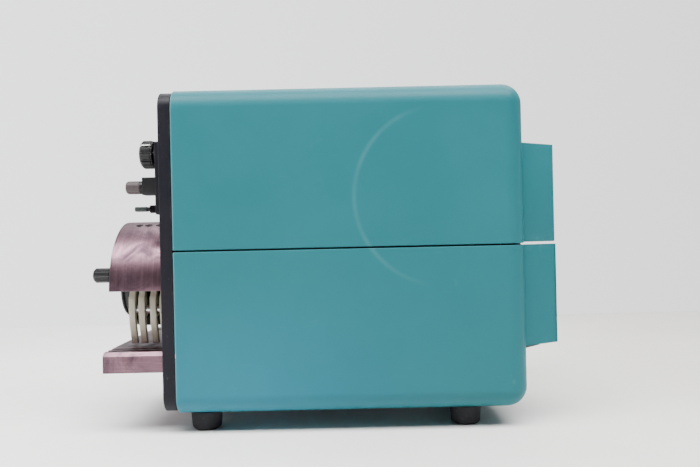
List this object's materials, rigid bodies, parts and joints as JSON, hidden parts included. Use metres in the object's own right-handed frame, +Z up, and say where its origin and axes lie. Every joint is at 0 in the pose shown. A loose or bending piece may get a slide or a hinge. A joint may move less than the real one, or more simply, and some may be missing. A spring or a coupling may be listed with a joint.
{
  "type": "peristaltic pump",
  "caption": "Benchtop peristaltic pump: two-part teal case, black front panel with controls, hinged pump head with rollers and pressure cams, rear connectors.",
  "frame": {"origin": "on the bench, under the middle of the object's bounding box", "axes": "+Z up, -Y towards the operator (the front panel and pump head), +X to the operator's right; the rotor turns about an axis along Y"},
  "size_m": [0.144, 0.3273, 0.2355],
  "materials": {
    "teal_enamel": "satin enamel",
    "black_panel": "satin",
    "dark_grey_sheet": "fine texture",
    "mauve_anodised": "brushed and anodised, stained",
    "ivory_plastic": "moulded, aged",
    "black_rubber": "matte",
    "steel": "ground",
    "zinc_plate": "zinc plated",
    "black_plastic": "semi-gloss",
    "grey_cap": "satin",
    "brass": "machined",
    "circuit_board": "solder mask",
    "winding_tape": "tape"
  },
  "bodies": {
    "housing": {"lower_shell": "teal_enamel", "upper_shell": "teal_enamel", "front_panel": "black_panel", "control_plate": "black_panel", "chassis_tray": "zinc_plate", "rear_connector_box": "dark_grey_sheet", "foot_front_left": "black_rubber", "foot_front_right": "black_rubber", "foot_rear_left": "black_rubber", "foot_rear_right": "black_rubber", "power_inlet": "black_plastic", "fuse_holder": "black_plastic", "remote_socket": "zinc_plate", "transformer_core": "dark_grey_sheet", "transformer_coil": "winding_tape", "circuit_board": "circuit_board", "speed_potentiometer": "zinc_plate", "potentiometer_nut": "zinc_plate", "button_housing": "black_plastic", "toggle_body": "zinc_plate", "drive_motor": "dark_grey_sheet", "motor_bracket": "zinc_plate", "bearing_housing": "steel", "front_bearing": "steel", "rear_bearing": "steel", "cam_pivot_rod": "steel", "tube_plate": "mauve_anodised", "cover_hinge_pin": "steel"},
    "rotor": {"rotor_shaft": "steel", "rotor_core": "black_plastic", "rotor_front_flange": "black_plastic", "rotor_rear_flange": "black_plastic", "rotor_front_cap": "black_plastic", "drive_gear": "brass"},
    "pinion": {"motor_pinion": "steel", "motor_shaft": "steel"},
    "cover": {"pump_cover": "mauve_anodised"},
    "thumb_screw": {"thumb_screw": "black_plastic"},
    "speed_knob": {"speed_knob": "black_plastic", "potentiometer_shaft": "steel"},
    "push_button": {"push_button": "grey_cap"},
    "toggle_lever": {"toggle_lever": "zinc_plate", "toggle_tip": "black_plastic"},
    "fuse_cap": {"fuse_cap": "black_plastic"},
    "roller_1": {"roller_1": "black_plastic"},
    "roller_2": {"roller_2": "black_plastic"},
    "roller_3": {"roller_3": "black_plastic"},
    "roller_4": {"roller_4": "black_plastic"},
    "roller_5": {"roller_5": "black_plastic"},
    "roller_6": {"roller_6": "black_plastic"},
    "roller_7": {"roller_7": "black_plastic"},
    "roller_8": {"roller_8": "black_plastic"},
    "cam_1": {"occlusion_cam_1": "ivory_plastic"},
    "adjuster_1": {"adjusting_screw_1": "steel"},
    "cam_2": {"occlusion_cam_2": "ivory_plastic"},
    "adjuster_2": {"adjusting_screw_2": "steel"},
    "cam_3": {"occlusion_cam_3": "ivory_plastic"},
    "adjuster_3": {"adjusting_screw_3": "steel"},
    "cam_4": {"occlusion_cam_4": "ivory_plastic"},
    "adjuster_4": {"adjusting_screw_4": "steel"}
  },
  "joints": [
    {"name": "rotor_spin", "type": "hinge", "parent": "housing", "child": "rotor", "pos_m": [0, -0.128, 0.0967], "axis": [0, 1, 0], "continuous": true},
    {"name": "roller_1_spin", "type": "hinge", "parent": "rotor", "child": "roller_1", "pos_m": [0.0231, -0.128, 0.10627], "axis": [0, 1, 0], "continuous": true},
    {"name": "roller_2_spin", "type": "hinge", "parent": "rotor", "child": "roller_2", "pos_m": [0.00957, -0.128, 0.1198], "axis": [0, 1, 0], "continuous": true},
    {"name": "roller_3_spin", "type": "hinge", "parent": "rotor", "child": "roller_3", "pos_m": [-0.00957, -0.128, 0.1198], "axis": [0, 1, 0], "continuous": true},
    {"name": "roller_4_spin", "type": "hinge", "parent": "rotor", "child": "roller_4", "pos_m": [-0.0231, -0.128, 0.10627], "axis": [0, 1, 0], "continuous": true},
    {"name": "roller_5_spin", "type": "hinge", "parent": "rotor", "child": "roller_5", "pos_m": [-0.0231, -0.128, 0.08713], "axis": [0, 1, 0], "continuous": true},
    {"name": "roller_6_spin", "type": "hinge", "parent": "rotor", "child": "roller_6", "pos_m": [-0.00957, -0.128, 0.0736], "axis": [0, 1, 0], "continuous": true},
    {"name": "roller_7_spin", "type": "hinge", "parent": "rotor", "child": "roller_7", "pos_m": [0.00957, -0.128, 0.0736], "axis": [0, 1, 0], "continuous": true},
    {"name": "roller_8_spin", "type": "hinge", "parent": "rotor", "child": "roller_8", "pos_m": [0.0231, -0.128, 0.08713], "axis": [0, 1, 0], "continuous": true},
    {"name": "pinion_spin", "type": "hinge", "parent": "housing", "child": "pinion", "pos_m": [0, -0.076, 0.1387], "axis": [0, 1, 0], "continuous": true},
    {"name": "cover_hinge", "type": "hinge", "parent": "housing", "child": "cover", "pos_m": [-0.0438, -0.13, 0.1009], "axis": [0, -1, 0], "range_deg": [0, 100]},
    {"name": "cam_1_pivot", "type": "hinge", "parent": "housing", "child": "cam_1", "pos_m": [0.0348, -0.1384, 0.0829], "axis": [0, 1, 0], "range_deg": [0, 30]},
    {"name": "cam_2_pivot", "type": "hinge", "parent": "housing", "child": "cam_2", "pos_m": [0.0348, -0.1314, 0.0829], "axis": [0, 1, 0], "range_deg": [0, 30]},
    {"name": "cam_3_pivot", "type": "hinge", "parent": "housing", "child": "cam_3", "pos_m": [0.0348, -0.1232, 0.0829], "axis": [0, 1, 0], "range_deg": [0, 30]},
    {"name": "cam_4_pivot", "type": "hinge", "parent": "housing", "child": "cam_4", "pos_m": [0.0348, -0.1162, 0.0829], "axis": [0, 1, 0], "range_deg": [0, 30]},
    {"name": "adjuster_1_turn", "type": "hinge", "parent": "cover", "child": "adjuster_1", "pos_m": [0.01539, -0.1384, 0.13899], "axis": [0.342, 0, 0.9397], "range_deg": [-180, 180]},
    {"name": "adjuster_2_turn", "type": "hinge", "parent": "cover", "child": "adjuster_2", "pos_m": [0.01539, -0.1314, 0.13899], "axis": [0.342, 0, 0.9397], "range_deg": [-180, 180]},
    {"name": "adjuster_3_turn", "type": "hinge", "parent": "cover", "child": "adjuster_3", "pos_m": [0.01539, -0.1232, 0.13899], "axis": [0.342, 0, 0.9397], "range_deg": [-180, 180]},
    {"name": "adjuster_4_turn", "type": "hinge", "parent": "cover", "child": "adjuster_4", "pos_m": [0.01539, -0.1162, 0.13899], "axis": [0.342, 0, 0.9397], "range_deg": [-180, 180]},
    {"name": "thumb_screw_turn", "type": "hinge", "parent": "cover", "child": "thumb_screw", "pos_m": [0.0425, -0.158, 0.1083], "axis": [0, -1, 0], "range_deg": [0, 1080]},
    {"name": "speed_knob_turn", "type": "hinge", "parent": "housing", "child": "speed_knob", "pos_m": [0.048, -0.123, 0.1932], "axis": [0, 1, 0], "range_deg": [-187, 83]},
    {"name": "push_button_travel", "type": "slide", "parent": "housing", "child": "push_button", "axis": [0, 1, 0], "range_m": [0, 0.0022], "stiffness_N_per_m": 400},
    {"name": "toggle_throw", "type": "hinge", "parent": "housing", "child": "toggle_lever", "pos_m": [0.048, -0.1185, 0.1548], "axis": [1, 0, 0], "range_deg": [-10, 10]},
    {"name": "fuse_cap_turn", "type": "hinge", "parent": "housing", "child": "fuse_cap", "pos_m": [-0.022, 0.158, 0.0959], "axis": [0, -1, 0], "range_deg": [0, 90]}
  ],
  "couplings": [
    {"joint": "roller_1_spin", "follows": "rotor_spin", "ratio": -5.5455},
    {"joint": "roller_2_spin", "follows": "rotor_spin", "ratio": -5.5455},
    {"joint": "roller_3_spin", "follows": "rotor_spin", "ratio": -5.5455},
    {"joint": "roller_4_spin", "follows": "rotor_spin", "ratio": -5.5455},
    {"joint": "roller_5_spin", "follows": "rotor_spin", "ratio": -5.5455},
    {"joint": "roller_6_spin", "follows": "rotor_spin", "ratio": -5.5455},
    {"joint": "roller_7_spin", "follows": "rotor_spin", "ratio": -5.5455},
    {"joint": "roller_8_spin", "follows": "rotor_spin", "ratio": -5.5455},
    {"joint": "pinion_spin", "follows": "rotor_spin", "ratio": -2.5},
    {"joint": "cam_1_pivot", "follows": "cover_hinge", "ratio": 0.3},
    {"joint": "cam_2_pivot", "follows": "cover_hinge", "ratio": 0.3},
    {"joint": "cam_3_pivot", "follows": "cover_hinge", "ratio": 0.3},
    {"joint": "cam_4_pivot", "follows": "cover_hinge", "ratio": 0.3}
  ]
}
